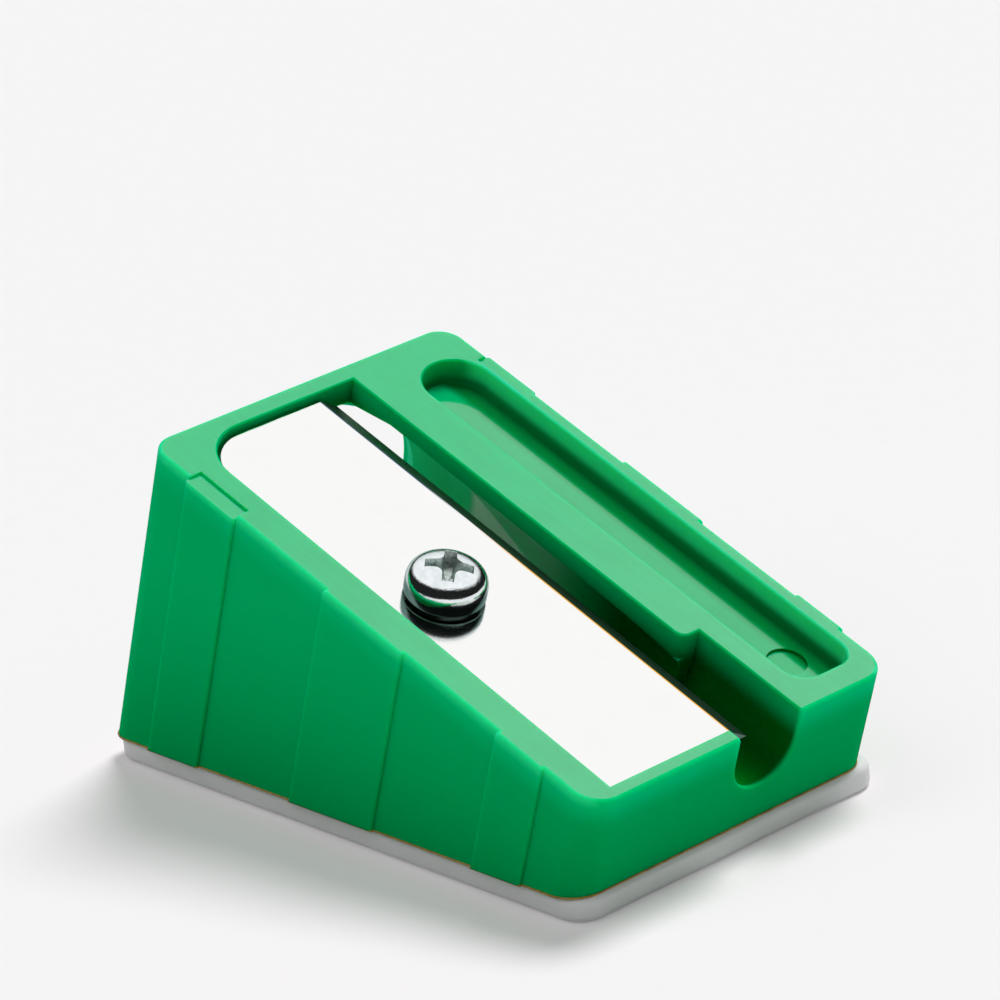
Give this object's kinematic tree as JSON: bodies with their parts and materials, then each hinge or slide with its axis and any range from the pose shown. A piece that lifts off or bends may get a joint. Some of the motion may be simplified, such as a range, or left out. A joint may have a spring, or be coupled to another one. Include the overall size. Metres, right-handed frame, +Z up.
{
  "type": "pencil sharpener",
  "caption": "Wedge-shaped desk sharpener: moulded body with a conical pencil bore, chip slot and side pocket, a bevelled steel blade, its pan-head screw and a thin base plate.",
  "frame": {"origin": "centre of the underside of the base plate's and body's common box, on the surface it stands on", "axes": "+X runs from the tall end with the pencil hole to the low end with the open groove, +Y from the blade's back edge towards the side pocket, +Z up"},
  "size_m": [0.0294, 0.0162, 0.0147],
  "materials": {
    "body": "injection-moulded green plastic, satin gloss with soft moulded edges",
    "blade": "bright rolled steel strip, finely ground bevel along the cutting edge",
    "screw": "bright nickel plating",
    "base": "light grey matt plastic sheet"
  },
  "bodies": {
    "housing": {"body": "body", "base_plate": "base"},
    "blade": {"blade": "blade"},
    "screw": {"blade_screw": "screw"}
  },
  "joints": [
    {"name": "blade_lift", "type": "slide", "parent": "housing", "child": "blade", "axis": [0.3616, 0, 0.9323], "range_m": [0, 0.0048]},
    {"name": "screw_turn", "type": "hinge", "parent": "blade", "child": "screw", "pos_m": [0.0027, -0.00396, 0.00968], "axis": [0.3616, 0, 0.9323], "range_deg": [0, 2160]}
  ],
  "couplings": [
    {"joint": "screw_turn", "follows": "blade_lift", "rad_per_m": 7853.9}
  ]
}
